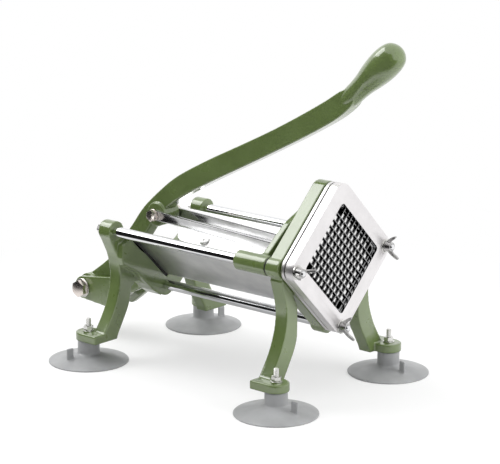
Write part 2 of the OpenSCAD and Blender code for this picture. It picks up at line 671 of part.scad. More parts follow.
// Link bars and their bolts
bar_in = lever_boss_w / 2 + face_gap;
bar_out = bar_in + link_t;
bolt_seat = bar_out + face_gap;
module link_bolt(x, z) {
    color("silver") placed() {
        rod_along_y(-bolt_seat - seat_gap, bolt_seat + link_nut_h + thread_end / 2, link_bolt_d / 2, x, z);
        hex_along_y(-bolt_seat - link_head_h, -bolt_seat, link_bolt_af, x, z);
    }
}
module link_nut(x, z) {
    color("silver") placed() difference() {
        hex_along_y(bolt_seat, bolt_seat + link_nut_h, link_bolt_af, x, z);
        rod_along_y(bolt_seat - cut, bolt_seat + link_nut_h + cut, link_bolt_d / 2 + run_gap, x, z);
    }
}
module lever_link_bolt() { link_bolt(link_x, link_z); }
module lever_link_nut() { link_nut(link_x, link_z); }
module pusher_link_bolt() { link_bolt(push_x, push_z); }
module pusher_link_nut() { link_nut(push_x, push_z); }
module link_bar(y0) {
    ends = [[link_x, link_z], [push_x, push_z]];
    color("lightgray") placed() difference() {
        along_y(y0, y0 + link_t) {
            for (e = ends) translate(e) circle(link_h / 2);
            translate(ends[0]) rotate(atan2(push_z - link_z, push_x - link_x))
                translate([0, -link_h / 2]) square([link_len, link_h]);
        }
        for (e = ends) rod_along_y(y0 - cut, y0 + link_t + cut, link_bolt_d / 2 + run_gap, e[0], e[1]);
    }
}
module link_bar_right() { link_bar(-bar_out); }
module link_bar_left() { link_bar(bar_in); }

// Pusher
lug_out = lever_boss_w / 2;
lug_r = slot_r + lug_wall;
arc_steps = 16;
// Half height of a lug's root as a share of the radius of its ends
lug_root_share = 0.85;
sleeve_bore = rod_d / 2 + run_gap + sleeve_bush_wall;
bridge_low_z = axis_z + trough_t + 2 * slot_play - cut;
// Shares of rod_y along Y, and of the rise from the rods to the casting's top, round the carriage's bridge
bridge_shares = [[1, 0.13], [0.93, 0.16], [0.5, 0.5], [0, 0.72]];
// Distance of the block's screws from the middle as a share of the peg plate's half diagonal
screw_share = 0.66;
screw_r = 2.5;
screw_head_r = 4.6;
screw_head_h = 3;
screw_depth = 9;
module at_screws() {
    translate([carriage_back, 0, axis_z]) for (turn = [0 : 90 : 270]) rotate([turn, 0, 0])
        translate([0, 0, peg_plate_side / sqrt(2) * screw_share]) rotate([0, 90, 0]) children();
}
// A slot's outline of radius r, from the origin to a point
module capsule(end, r) {
    heading = atan2(end[1], end[0]);
    half_turn = [for (k = [0 : arc_steps]) 180 * k / arc_steps];
    polygon(concat([for (a = half_turn) r * [cos(heading + 90 + a), sin(heading + 90 + a)]],
                   [for (a = half_turn) end + r * [cos(heading - 90 + a), sin(heading - 90 + a)]]));
}
module slot_profile() {
    translate([push_x, push_z]) capsule(slot_top, slot_r);
}
module lug_profile() {
    translate([push_x, push_z]) {
        capsule(slot_top, lug_r);
        translate([0, -lug_r * lug_root_share])
            square([lug_offset + cut, slot_top[1] + 2 * lug_r * lug_root_share]);
    }
}
module pusher_carriage() {
    bridge = [for (s = bridge_shares) [s[0] * rod_y, axis_z + s[1] * rod_y]];
    color("olivedrab") placed() difference() {
        union() {
            along_x(carriage_back, peg_plate_back - seat_gap) {
                translate([0, axis_z]) diamond(peg_plate_side, opening_r);
                polygon(concat([[rod_y, bridge_low_z]], bridge, mirrored(bridge), [[-rod_y, bridge_low_z]]));
            }
            for (y = [-rod_y, rod_y]) rod_x(sleeve_front - sleeve_len, sleeve_front, sleeve_r, y, axis_z);
            both_sides() along_y(lug_out - lug_t, lug_out) lug_profile();
        }
        for (y = [-rod_y, rod_y])
            rod_x(sleeve_front - sleeve_len - cut, sleeve_front + cut, sleeve_bore + run_gap, y, axis_z);
        along_y(-lug_out - cut, lug_out + cut) slot_profile();
        at_screws() translate([0, 0, -cut]) cylinder(r = screw_r + hole_gap, h = carriage_t + 2 * cut);
    }
}
module sleeve_bushes() {
    color("ivory") placed() for (y = [-rod_y, rod_y]) translate([0, y, axis_z])
        washer_x(sleeve_front - sleeve_len, sleeve_len, sleeve_bore, rod_d / 2 + run_gap);
}
module pusher_block() {
    cells = blade_count + 1;
    color("white") placed() difference() {
        union() {
            along_x(peg_plate_back, peg_back) translate([0, axis_z]) diamond(peg_plate_side, opening_r);
            translate([0, 0, axis_z]) rotate([45, 0, 0]) for (i = [0 : cells - 1]) for (k = [0 : cells - 1])
                if (!((i == 0 || i == cells - 1) && (k == 0 || k == cells - 1)))
                    translate([peg_back - cut, (i - (cells - 1) / 2) * blade_pitch - peg_w / 2,
                               (k - (cells - 1) / 2) * blade_pitch - peg_w / 2])
                        cube([peg_len + cut, peg_w, peg_w]);
        }
        at_screws() translate([0, 0, carriage_t - cut])
            cylinder(r = screw_r + run_gap, h = screw_depth - carriage_t + peg_plate_t / 2 + cut);
    }
}
module pusher_screws() {
    color("silver") placed() at_screws() {
        translate([0, 0, -screw_head_h - seat_gap]) cylinder(r = screw_head_r, h = screw_head_h);
        translate([0, 0, -seat_gap - screw_head_h / 2])
            cylinder(r = screw_r, h = screw_depth + peg_plate_t / 2 + screw_head_h / 2 - seat_gap);
    }
}

front_casting();
rear_casting();
guide_rod_left();
guide_rod_right();
guide_rod_bottom();
rod_rear_nuts();
rod_washers();
blade_holder();
blades_rising();
blades_falling();
cover_plate();
wing_nut_left();
wing_nut_right();
wing_nut_bottom();
trough();
suction_cup_front_right();
suction_cup_front_left();
suction_cup_rear_right();
suction_cup_rear_left();
foot_studs();
foot_nuts();
foot_washers();
pivot_bolt();
pivot_nut();
pivot_washers();
lever();
pivot_bush();
lever_link_bolt();
lever_link_nut();
link_bar_right();
link_bar_left();
pusher_link_bolt();
pusher_link_nut();
pusher_carriage();
sleeve_bushes();
pusher_block();
pusher_screws();
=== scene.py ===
import math
import bpy
from mathutils import Matrix, Vector


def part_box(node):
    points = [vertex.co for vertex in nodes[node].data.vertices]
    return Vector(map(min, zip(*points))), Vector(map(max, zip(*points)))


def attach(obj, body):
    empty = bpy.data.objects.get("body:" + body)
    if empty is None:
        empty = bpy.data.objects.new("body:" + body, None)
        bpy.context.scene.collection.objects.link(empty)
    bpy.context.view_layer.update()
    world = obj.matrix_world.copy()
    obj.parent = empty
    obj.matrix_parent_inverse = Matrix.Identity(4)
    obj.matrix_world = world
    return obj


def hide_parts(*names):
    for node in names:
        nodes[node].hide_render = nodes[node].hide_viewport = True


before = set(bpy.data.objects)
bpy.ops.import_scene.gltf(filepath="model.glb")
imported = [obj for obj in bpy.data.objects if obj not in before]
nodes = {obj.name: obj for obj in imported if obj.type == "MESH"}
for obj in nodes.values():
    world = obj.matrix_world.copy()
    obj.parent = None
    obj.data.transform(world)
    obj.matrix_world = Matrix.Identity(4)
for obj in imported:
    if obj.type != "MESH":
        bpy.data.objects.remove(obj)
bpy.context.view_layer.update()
turn = math.pi / 180
diagonal = 45 * turn                    # how the trough's walls and the square parts stand
modelling = {"weld": 0.000004, "flat": 0.6, "level": 0.00002, "along": 0.99, "faces": 0.9, "shade": 30,
             "castShade": 60}            # metres, degrees, and cosines for how square a face stands


# Small tools for modelling
def deselectAll():
    active = bpy.context.view_layer.objects.active
    if active and active.mode != "OBJECT":
        bpy.ops.object.mode_set(mode="OBJECT")
    bpy.ops.object.select_all(action="DESELECT")


def pickOnly(piece):
    deselectAll()
    piece.select_set(True)
    bpy.context.view_layer.objects.active = piece


def applyAll(piece):
    pickOnly(piece)
    for modifier in list(piece.modifiers):
        bpy.ops.object.modifier_apply(modifier=modifier.name)


def settle(piece):                      # the place goes into the mesh, the object stays at the origin
    pickOnly(piece)
    bpy.ops.object.transform_apply(location=True, rotation=True, scale=True)


def smoothShade(piece, degrees):
    pickOnly(piece)
    bpy.ops.object.shade_smooth_by_angle(angle=degrees * turn)


def finishPiece(piece, body, material, stands=(), shade="shade"):
    smoothShade(piece, modelling[shade])
    piece.data.materials.clear()
    piece.data.materials.append(material)
    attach(piece, body)
    if stands:
        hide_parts(*stands)
    return piece


def mergedCopy(node, name):             # a CAD node's loose triangles, joined up
    piece = nodes[node].copy()
    piece.data = nodes[node].data.copy()
    piece.name = name
    piece.parent = None
    for key in list(piece.keys()):
        del piece[key]
    bpy.context.scene.collection.objects.link(piece)
    pickOnly(piece)
    bpy.ops.mesh.customdata_custom_splitnormals_clear()
    bpy.ops.object.mode_set(mode="EDIT")
    bpy.ops.mesh.select_all(action="SELECT")
    bpy.ops.mesh.remove_doubles(threshold=modelling["weld"])
    bpy.ops.object.mode_set(mode="OBJECT")
    return piece


def clearFlats(piece, planes):          # flat edges go, but the cuts through holes stay, so no hole closes
    pickOnly(piece)
    bpy.ops.object.mode_set(mode="EDIT")
    for point, normal in planes:
        bpy.ops.mesh.select_all(action="SELECT")
        bpy.ops.mesh.bisect(plane_co=point, plane_no=normal)
        bpy.ops.mesh.mark_seam(clear=False)
    bpy.ops.mesh.select_all(action="SELECT")
    bpy.ops.mesh.dissolve_limited(angle_limit=modelling["flat"] * turn, delimit={"SEAM"})
    bpy.ops.object.mode_set(mode="OBJECT")


def copyPiece(piece, name, shift):
    deselectAll()
    twin = piece.copy()
    twin.data = piece.data.copy()
    twin.name = name
    bpy.context.scene.collection.objects.link(twin)
    twin.location = Vector(shift)
    settle(twin)
    return twin


def joinPieces(first, others):
    deselectAll()
    for piece in [first, *others]:
        piece.select_set(True)
    bpy.context.view_layer.objects.active = first
    bpy.ops.object.join()
    return first


def bevelEdges(piece, width, segments=3, degrees=32):
    bevel = piece.modifiers.new("edge", "BEVEL")
    bevel.width = width
    bevel.segments = segments
    bevel.limit_method = "ANGLE"
    bevel.angle_limit = degrees * turn
    bevel.use_clamp_overlap = False
    bevel.harden_normals = False
    applyAll(piece)
    return piece


def castSoft(piece, voxel, rounds):     # a casting's rounded edges and filled corners
    remesh = piece.modifiers.new("cast", "REMESH")
    remesh.mode = "VOXEL"
    remesh.voxel_size = voxel
    remesh.use_smooth_shade = True
    smooth = piece.modifiers.new("rounding", "SMOOTH")
    smooth.factor = 0.5
    smooth.iterations = rounds
    applyAll(piece)
    return piece


def cutWith(piece, tool, operation="DIFFERENCE"):
    boolean = piece.modifiers.new("cut", "BOOLEAN")
    boolean.operation = operation
    boolean.solver = "EXACT"
    boolean.object = tool
    applyAll(piece)
    bpy.data.objects.remove(tool)
    return piece


axisTurns = {"z": (0, 0, 0), "x": (0, 90 * turn, 0), "y": (-90 * turn, 0, 0), "-y": (90 * turn, 0, 0)}


def placeAlong(piece, axis, place):
    piece.rotation_euler = axisTurns[axis]
    piece.location = Vector(place)
    settle(piece)
    return piece


def spunPiece(name, profile, axis="z", place=(0, 0, 0), steps=48, closed=False):
    deselectAll()
    bpy.ops.mesh.primitive_plane_add(size=0.001)        # shrunk to one point, which draws the profile
    piece = bpy.context.object
    piece.name = name
    bpy.ops.object.mode_set(mode="EDIT")
    bpy.ops.mesh.select_mode(type="VERT")
    bpy.ops.mesh.select_all(action="SELECT")
    bpy.ops.mesh.merge(type="CENTER")
    bpy.ops.transform.translate(value=(profile[0][0], 0, profile[0][1]))
    before = profile[0]
    for point in list(profile[1:]) + ([profile[0]] if closed else []):
        step = (point[0] - before[0], 0, point[1] - before[1])
        bpy.ops.mesh.extrude_region_move(TRANSFORM_OT_translate={"value": step})
        before = point
    bpy.ops.mesh.select_all(action="SELECT")
    bpy.ops.mesh.spin(steps=steps, angle=2 * math.pi, center=(0, 0, 0), axis=(0, 0, 1))
    bpy.ops.mesh.select_all(action="SELECT")
    bpy.ops.mesh.remove_doubles(threshold=modelling["weld"])
    bpy.ops.mesh.normals_make_consistent(inside=False)
    bpy.ops.object.mode_set(mode="OBJECT")
    return placeAlong(piece, axis, place)


hexShape = {"edge": 0.00018, "wideShare": 0.62, "narrowShare": 0.475, "rim": 0.0005, "past": 0.001,
            "coneSteps": 64, "boreSteps": 40}


def hexPiece(name, acrossFlats, height, chamfer, bore=0.0, bothEnds=False, spinTurn=0.0):
    deselectAll()
    bpy.ops.mesh.primitive_cylinder_add(vertices=6, radius=acrossFlats / math.sqrt(3), depth=height,
                                        location=(0, 0, height / 2), rotation=(0, 0, spinTurn))
    piece = bpy.context.object
    piece.name = name
    settle(piece)
    bevelEdges(piece, hexShape["edge"], 2)
    wide, narrow = acrossFlats * hexShape["wideShare"], acrossFlats * hexShape["narrowShare"]
    low = [(0, 0), (narrow, 0), (wide, chamfer)] if bothEnds else [(0, 0), (wide, 0)]
    outline = low + [(wide, height - chamfer), (narrow, height), (0, height)]
    cutWith(piece, spunPiece("cone", outline, steps=hexShape["coneSteps"]), "INTERSECT")
    if bore:
        rim, past = hexShape["rim"], hexShape["past"]
        outline = [(0, -past), (bore + rim, -past), (bore + rim, 0), (bore, rim), (bore, height - rim),
                   (bore + rim, height), (bore + rim, height + past), (0, height + past)]
        cutWith(piece, spunPiece("bore", outline, steps=hexShape["boreSteps"]))
    return piece


def nutPiece(name, look, axis, place):
    nut = hexPiece(name, look["flats"], look["height"], look["chamfer"], look["bore"], True,
                   look.get("spin", 0) * turn)
    return placeAlong(nut, axis, place)


def ringPiece(name, look, axis, place):
    outer, bore, thick, rim = look["outer"], look["bore"], look["thick"], look["rim"]
    profile = [(bore, 0), (outer - rim, 0), (outer, rim), (outer, thick - rim), (outer - rim, thick),
               (bore, thick)]
    return spunPiece(name, profile, axis, place, closed=True)


def boxPiece(name, low, high):
    deselectAll()
    bpy.ops.mesh.primitive_cube_add(size=1, location=[(a + b) / 2 for a, b in zip(low, high)],
                                    scale=[b - a for a, b in zip(low, high)])
    piece = bpy.context.object
    piece.name = name
    settle(piece)
    return piece


def alongWall(name, side, front, back, inner, outer, reach):    # a slab outside a wall of the trough
    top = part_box("trough")[1]
    slab = boxPiece(name, (back, -outer, -outer), (front, reach * math.sqrt(2), -inner))
    slab.rotation_euler = (diagonal, 0, 0)
    slab.location = (0, 0, top[2] - top[1])
    settle(slab)
    if side < 0:
        pickOnly(slab)
        bpy.ops.object.mode_set(mode="EDIT")
        bpy.ops.mesh.select_all(action="SELECT")
        bpy.ops.transform.mirror(constraint_axis=(False, True, False), center_override=(0, 0, 0))
        bpy.ops.mesh.normals_make_consistent(inside=False)
        bpy.ops.object.mode_set(mode="OBJECT")
    return slab


def arrayAlong(piece, step, count):
    array = piece.modifiers.new("row", "ARRAY")
    array.use_relative_offset = False
    array.use_constant_offset = True
    array.constant_offset_displace = step
    array.count = count
    applyAll(piece)


def setOfPieces(first, shifts, name):   # copies of the first piece, joined to it
    twins = [copyPiece(first, name + str(i), shift) for i, shift in enumerate(shifts)]
    first.name = name
    return joinPieces(first, twins)


grooveShape = {"from": 0.1, "middle": 0.5, "to": 0.9}    # shares of one pitch


def threadSteps(radius, start, end, pitch, depth):      # ring grooves from start to end along a rod
    count = max(1, round(abs(end - start) / pitch))
    step = (end - start) / count
    points = []
    for i in range(count):
        z = start + i * step
        points += [(radius, z + grooveShape["from"] * step),
                   (radius - depth, z + grooveShape["middle"] * step), (radius, z + grooveShape["to"] * step)]
    return points


def centreOf(node):
    low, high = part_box(node)
    return tuple((low[i] + high[i]) / 2 for i in range(3))


def shiftFaces(piece, normal, shift):   # faces that point along normal move by shift
    pickOnly(piece)
    aim = Vector(normal)
    mesh = piece.data
    far = max(v.co.dot(aim) for v in mesh.vertices)
    bpy.ops.object.mode_set(mode="EDIT")
    bpy.ops.mesh.select_mode(type="FACE")
    bpy.ops.mesh.select_all(action="DESELECT")
    bpy.ops.object.mode_set(mode="OBJECT")
    for face in mesh.polygons:
        square = face.normal.dot(aim) > modelling["along"]
        face.select = square and face.center.dot(aim) > far - modelling["level"]
    bpy.ops.object.mode_set(mode="EDIT")
    bpy.ops.transform.translate(value=shift)
    bpy.ops.mesh.select_mode(type="VERT")
    bpy.ops.object.mode_set(mode="OBJECT")


# Materials
def startMaterial(name):
    material = bpy.data.materials.new(name)
    material.use_nodes = True
    tree = material.node_tree
    return material, tree, tree.nodes["Principled BSDF"]


def addNode(tree, kind, **values):
    node = tree.nodes.new(kind)
    for key, value in values.items():
        if hasattr(node, key):
            setattr(node, key, value)
        else:
            node.inputs[key].default_value = value
    return node


def objectNoise(tree, scale, detail=4.0, stretch=(1, 1, 1)):
    place = addNode(tree, "ShaderNodeTexCoord")
    mapping = addNode(tree, "ShaderNodeMapping")
    mapping.inputs["Scale"].default_value = stretch
    noise = addNode(tree, "ShaderNodeTexNoise")
    noise.inputs["Scale"].default_value = scale
    noise.inputs["Detail"].default_value = detail
    tree.links.new(place.outputs["Object"], mapping.inputs["Vector"])
    tree.links.new(mapping.outputs["Vector"], noise.inputs["Vector"])
    return noise.outputs["Fac"]


def ramp(tree, source, low, high, lowAt=0.35, highAt=0.65):
    node = addNode(tree, "ShaderNodeValToRGB")
    node.color_ramp.elements[0].position = lowAt
    node.color_ramp.elements[1].position = highAt
    node.color_ramp.elements[0].color = (*low, 1)
    node.color_ramp.elements[1].color = (*high, 1)
    tree.links.new(source, node.inputs["Fac"])
    return node.outputs["Color"]


def spread(tree, source, low, high, lowAt=0.3, highAt=0.7):     # a noise's middle range as other values
    node = addNode(tree, "ShaderNodeMapRange")
    node.inputs["From Min"].default_value = lowAt
    node.inputs["From Max"].default_value = highAt
    node.inputs["To Min"].default_value = low
    node.inputs["To Max"].default_value = high
    tree.links.new(source, node.inputs["Value"])
    return node.outputs["Result"]


def bumpFrom(tree, shader, layers):     # layers of (height, depth in metres, strength), finest last
    normal = None
    for height, depth, strength in layers:
        node = addNode(tree, "ShaderNodeBump")
        node.inputs["Distance"].default_value = depth
        node.inputs["Strength"].default_value = strength
        tree.links.new(height, node.inputs["Height"])
        if normal:
            tree.links.new(normal, node.inputs["Normal"])
        normal = node.outputs["Normal"]
    tree.links.new(normal, shader.inputs["Normal"])
    return normal


enamelLook = {"dark": (0.101, 0.147, 0.041), "light": (0.122, 0.174, 0.053), "tintScale": 26,
              "roughLow": 0.26, "roughHigh": 0.36, "roughScale": 70, "coat": 1.0, "coatRoughness": 0.07,
              "coatIor": 1.78, "peel": 0.00022, "peelScale": 150, "peelStrength": 0.5, "grain": 0.00008,
              "grainScale": 900, "grainStrength": 0.35}


def makeEnamel(name, look):
    material, tree, shader = startMaterial(name)
    tint = ramp(tree, objectNoise(tree, look["tintScale"], 5), look["dark"], look["light"])
    tree.links.new(tint, shader.inputs["Base Color"])
    rough = spread(tree, objectNoise(tree, look["roughScale"], 3), look["roughLow"], look["roughHigh"])
    tree.links.new(rough, shader.inputs["Roughness"])
    shader.inputs["Coat Weight"].default_value = look["coat"]
    shader.inputs["Coat Roughness"].default_value = look["coatRoughness"]
    shader.inputs["Coat IOR"].default_value = look["coatIor"]
    peel, grain = objectNoise(tree, look["peelScale"], 2), objectNoise(tree, look["grainScale"], 2)
    normal = bumpFrom(tree, shader, [(peel, look["peel"], look["peelStrength"]),
                                     (grain, look["grain"], look["grainStrength"])])
    tree.links.new(normal, shader.inputs["Coat Normal"])
    return material


def makeMetal(name, look):
    material, tree, shader = startMaterial(name)
    stretch = look.get("stretch", (1, 1, 1))
    patches = objectNoise(tree, look.get("patchScale", 60), 4)
    tree.links.new(ramp(tree, patches, look["dark"], look["light"]), shader.inputs["Base Color"])
    shader.inputs["Metallic"].default_value = look.get("metallic", 1.0)
    lines = objectNoise(tree, look.get("lineScale", 500), 3, stretch)
    tree.links.new(spread(tree, lines, look["roughLow"], look["roughHigh"]), shader.inputs["Roughness"])
    bumpFrom(tree, shader, [(lines, look["depth"], look["strength"])])
    return material


chromeLook = {"dark": (0.80, 0.81, 0.83), "light": (0.88, 0.88, 0.89), "roughLow": 0.03, "roughHigh": 0.07,
              "lineScale": 260, "stretch": (0.06, 1, 1), "depth": 0.00001, "strength": 0.2}
troughLook = {"dark": (0.76, 0.76, 0.76), "light": (0.84, 0.84, 0.83), "roughLow": 0.34, "roughHigh": 0.42,
              "lineScale": 320, "stretch": (0.05, 1, 1), "depth": 0.00003, "strength": 0.25}
satinLook = {"dark": (0.88, 0.86, 0.865), "light": (0.94, 0.92, 0.925), "roughLow": 0.42, "roughHigh": 0.50,
             "lineScale": 900, "depth": 0.00005, "strength": 0.3}
wingMetalLook = {"dark": (0.42, 0.415, 0.41), "light": (0.62, 0.615, 0.61), "roughLow": 0.20,
                 "roughHigh": 0.30, "patchScale": 160, "lineScale": 500, "depth": 0.00003, "strength": 0.3}
zincLook = {"dark": (0.66, 0.66, 0.63), "light": (0.82, 0.82, 0.80), "roughLow": 0.12, "roughHigh": 0.26,
            "lineScale": 700, "depth": 0.00003, "strength": 0.3}
nickelLook = {"dark": (0.78, 0.70, 0.66), "light": (0.82, 0.755, 0.71), "roughLow": 0.22, "roughHigh": 0.30,
              "patchScale": 220, "lineScale": 900, "depth": 0.000005, "strength": 0.1}
linkLook = {"dark": (0.60, 0.60, 0.61), "light": (0.72, 0.72, 0.73), "roughLow": 0.12, "roughHigh": 0.22,
            "lineScale": 420, "stretch": (0.08, 1, 1), "depth": 0.00004, "strength": 0.3}
# painted shade: the blade colour is near black for the shade deep in the cells, though the blades are bright
# steel
bladeShadeLook = {"dark": (0.09, 0.09, 0.093), "light": (0.14, 0.14, 0.143), "roughLow": 0.22, "roughHigh": 0.34,
             "lineScale": 800, "depth": 0.00002, "strength": 0.2}
pegLook = {"dark": (0.94, 0.94, 0.93), "light": (0.97, 0.97, 0.96), "roughLow": 0.20, "roughHigh": 0.30,
           "lineScale": 800, "depth": 0.00004, "strength": 0.3}
bronzeLook = {"dark": (0.50, 0.30, 0.12), "light": (0.62, 0.40, 0.18), "roughLow": 0.25, "roughHigh": 0.4,
              "lineScale": 500, "depth": 0.00003, "strength": 0.3}
# black, used for the plastic bushes and as painted shade in gaps and seams
blackAndShadeLook = {"dark": (0.012, 0.012, 0.013), "light": (0.02, 0.02, 0.021), "roughLow": 0.4, "roughHigh": 0.55,
            "metallic": 0.0, "lineScale": 700, "depth": 0.00003, "strength": 0.3}

# painted light on the forward faces of the blades
litFrontLook = {"from": 0.8, "to": 0.95, "colour": (0.36, 0.36, 0.36)}
vinylLook = {"dark": (0.29, 0.295, 0.30), "light": (0.35, 0.355, 0.36), "tintScale": 35, "roughLow": 0.30,
             "roughHigh": 0.42, "roughScale": 120, "scatter": 0.12, "scatterScale": 0.004, "depth": 0.00006,
             "grainScale": 500, "grainStrength": 0.3}


def paintedLitFronts(material, look):       # painted light: faces that point forwards get a lighter colour, standing in for the lit front edges of the dark blades
    tree = material.node_tree
    shader = tree.nodes["Principled BSDF"]
    place = addNode(tree, "ShaderNodeTexCoord")
    parts = addNode(tree, "ShaderNodeSeparateXYZ")
    tree.links.new(place.outputs["Normal"], parts.inputs["Vector"])
    forwards = addNode(tree, "ShaderNodeMapRange")
    forwards.inputs["From Min"].default_value = look["from"]
    forwards.inputs["From Max"].default_value = look["to"]
    tree.links.new(parts.outputs["X"], forwards.inputs["Value"])
    mix = addNode(tree, "ShaderNodeMix", data_type="RGBA")
    tree.links.new(forwards.outputs["Result"], mix.inputs["Factor"])
    tree.links.new(shader.inputs["Base Color"].links[0].from_socket, mix.inputs["A"])
    mix.inputs["B"].default_value = (*look["colour"], 1)
    tree.links.new(mix.outputs["Result"], shader.inputs["Base Color"])


def makeVinyl(name, look):
    material, tree, shader = startMaterial(name)
    tint = ramp(tree, objectNoise(tree, look["tintScale"], 4), look["dark"], look["light"])
    tree.links.new(tint, shader.inputs["Base Color"])
    rough = spread(tree, objectNoise(tree, look["roughScale"], 3), look["roughLow"], look["roughHigh"])
    tree.links.new(rough, shader.inputs["Roughness"])
    shader.inputs["Subsurface Weight"].default_value = look["scatter"]
    shader.inputs["Subsurface Scale"].default_value = look["scatterScale"]
    shader.inputs["Subsurface Radius"].default_value = (1, 1, 1)
    bumpFrom(tree, shader, [(objectNoise(tree, look["grainScale"], 2), look["depth"], look["grainStrength"])])
    return material


greenEnamel = makeEnamel("greenEnamel", enamelLook)
chromeSteel = makeMetal("chromeSteel", chromeLook)
troughSteel = makeMetal("troughSteel", troughLook)
satinAluminium = makeMetal("satinAluminium", satinLook)
zincSteel = makeMetal("zincSteel", zincLook)
wingMetal = makeMetal("wingMetal", wingMetalLook)
nickelSteel = makeMetal("nickelSteel", nickelLook)
linkSteel = makeMetal("linkSteel", linkLook)
bladeSteelPaintedShade = makeMetal("bladeSteelPaintedShade", bladeShadeLook)
paintedLitFronts(bladeSteelPaintedShade, litFrontLook)
pegWhite = makeMetal("pegWhite", pegLook)
bronzeMetal = makeMetal("bronzeMetal", bronzeLook)
blackPlasticAndShade = makeMetal("blackPlasticAndShade", blackAndShadeLook)
greyVinyl = makeVinyl("greyVinyl", vinylLook)
print("materials made")


# Green castings: frame ends, lever and pusher carriage
castings = {
    "front_casting": {"name": "frontCasting", "body": "frame", "voxel": 0.00095, "rounds": 5},
    "rear_casting": {"name": "rearCasting", "body": "frame", "voxel": 0.00095, "rounds": 5},
    "lever": {"name": "leverCasting", "body": "lever_arm", "voxel": 0.00085, "rounds": 8},
    "pusher_carriage": {"name": "carriageCasting", "body": "pusher", "voxel": 0.0009, "rounds": 4},
}
gapShadeLook = {"front": -0.1029, "back": -0.1110, "gap": 0.0027, "thick": 0.0023, "slack": 0.0003,
            "reach": 0.050, "ahead": 0.003, "behind": 0.001, "above": 0.001, "edge": 0.0003}
for node, look in castings.items():
    piece = mergedCopy(node, look["name"])
    if node == "rear_casting":          # room for the dark strip of painted shade between the trough and the casting
        for side in (-1, 1):
            cutWith(piece, alongWall("gap", side, gapShadeLook["front"] + gapShadeLook["ahead"],
                                     gapShadeLook["back"] - gapShadeLook["behind"], 0, gapShadeLook["gap"],
                                     gapShadeLook["reach"] + gapShadeLook["above"]))
    castSoft(piece, look["voxel"], look["rounds"])
    finishPiece(piece, look["body"], greenEnamel, [node], "castShade")
    print("casting", piece.name, len(piece.data.polygons))


# Dark strips of painted shade in the gaps between the trough's walls and the rear casting
gapShadeStrips = [alongWall("gapShadeSide", side, gapShadeLook["front"], gapShadeLook["back"], gapShadeLook["slack"],
                   gapShadeLook["thick"], gapShadeLook["reach"]) for side in (-1, 1)]
cutWith(gapShadeStrips[0], gapShadeStrips[1], "UNION")
gapShadeStrips[0].name = "troughGapShade"
bevelEdges(gapShadeStrips[0], gapShadeLook["edge"], 2)
finishPiece(gapShadeStrips[0], "frame", blackPlasticAndShade)
print("trough gap shade made", len(gapShadeStrips[0].data.polygons))


# Machined plates, links and trough
rodHeight = centreOf("guide_rod_left")[2]
headCuts = [((0, 0, rodHeight), (0, 1, 0)), ((0, 0, rodHeight), (0, 0, 1))]
rearPin, frontPin = centreOf("lever_link_bolt"), centreOf("pusher_link_bolt")
linkCuts = [(rearPin, (rearPin[2] - frontPin[2], 0, frontPin[0] - rearPin[0]))]
# painted shade: the cover plate's back faces are black; the blade holder's back and the faces round its
# opening take the dark blade colour, so seams and the opening's edge look dark
plates = {
    "cover_plate": {"name": "coverPlate", "body": "frame", "edge": 0.0007, "slot": "cast_aluminium",
                    "finish": satinAluminium, "seam": 0.0012, "cuts": headCuts, "wallMetalAndShade": chromeSteel,
                    "wallReach": 0.0640, "backShade": blackPlasticAndShade},
    "blade_holder": {"name": "bladeHolder", "body": "frame", "edge": 0.0005, "slot": "cast_aluminium",
                     "finish": satinAluminium, "seam": 0.0016, "cuts": headCuts, "wallMetalAndShade": bladeSteelPaintedShade,
                     "wallReach": 0.0640, "backShade": bladeSteelPaintedShade},
    "link_bar_right": {"name": "linkBarRight", "body": "links", "edge": 0.0005, "slot": "chrome_steel",
                       "finish": linkSteel, "cuts": linkCuts},
    "link_bar_left": {"name": "linkBarLeft", "body": "links", "edge": 0.0005, "slot": "chrome_steel",
                      "finish": linkSteel, "cuts": linkCuts},
    "trough": {"name": "troughSheet", "body": "frame", "edge": 0.0003, "slot": "polished_steel",
               "finish": troughSteel, "cuts": []},
}
for node, look in plates.items():
    piece = mergedCopy(node, look["name"])
    clearFlats(piece, look["cuts"])
    if "seam" in look:                  # a fine gap behind the plate, dimmed below by painted shade on the back faces
        shiftFaces(piece, (-1, 0, 0), (look["seam"], 0, 0))
    bevelEdges(piece, look["edge"], 2)
    finishPiece(piece, look["body"], look["finish"], [node])
    if "wallMetalAndShade" in look:             # the walls of the square opening, and the collar in it: chrome on the cover plate, painted shade on the blade holder; the back faces get painted shade
        piece.data.materials.append(look["wallMetalAndShade"])
        piece.data.materials.append(look["backShade"])
        for face in piece.data.polygons:
            reach = abs(face.center.y) + abs(face.center.z - rodHeight)
            inward = abs(face.normal.x) < modelling["faces"] or node == "blade_holder"
            wall = reach < look["wallReach"] and inward
            face.material_index = 1 if wall else 2 * int(face.normal.x < -modelling["faces"])
    print("plate", piece.name, len(piece.data.polygons))


# Peg block: a rounded square plate and one peg, copied to every cell but the corners
pegs = {"plateSide": 0.084, "plateThick": 0.006, "corner": 0.0045, "cornerSteps": 6, "width": 0.0054,
        "pitch": 0.00808, "cells": 10, "edge": 0.0003, "overlap": 0.001}
low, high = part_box("pusher_block")
half = pegs["plateSide"] / 2
block = boxPiece("pusherPegs", (low[0], -half, -half), (low[0] + pegs["plateThick"], half, half))
pickOnly(block)
bpy.ops.object.mode_set(mode="EDIT")
bpy.ops.mesh.select_mode(type="EDGE")
bpy.ops.mesh.select_all(action="DESELECT")
bpy.ops.object.mode_set(mode="OBJECT")
for edge in block.data.edges:
    ends = [block.data.vertices[v].co for v in edge.vertices]
    edge.select = abs(ends[0].x - ends[1].x) > pegs["plateThick"] / 2
bpy.ops.object.mode_set(mode="EDIT")
bpy.ops.mesh.bevel(offset=pegs["corner"], segments=pegs["cornerSteps"], affect="EDGES")
bpy.ops.mesh.select_mode(type="VERT")
bpy.ops.object.mode_set(mode="OBJECT")
bevelEdges(block, pegs["edge"], 2)
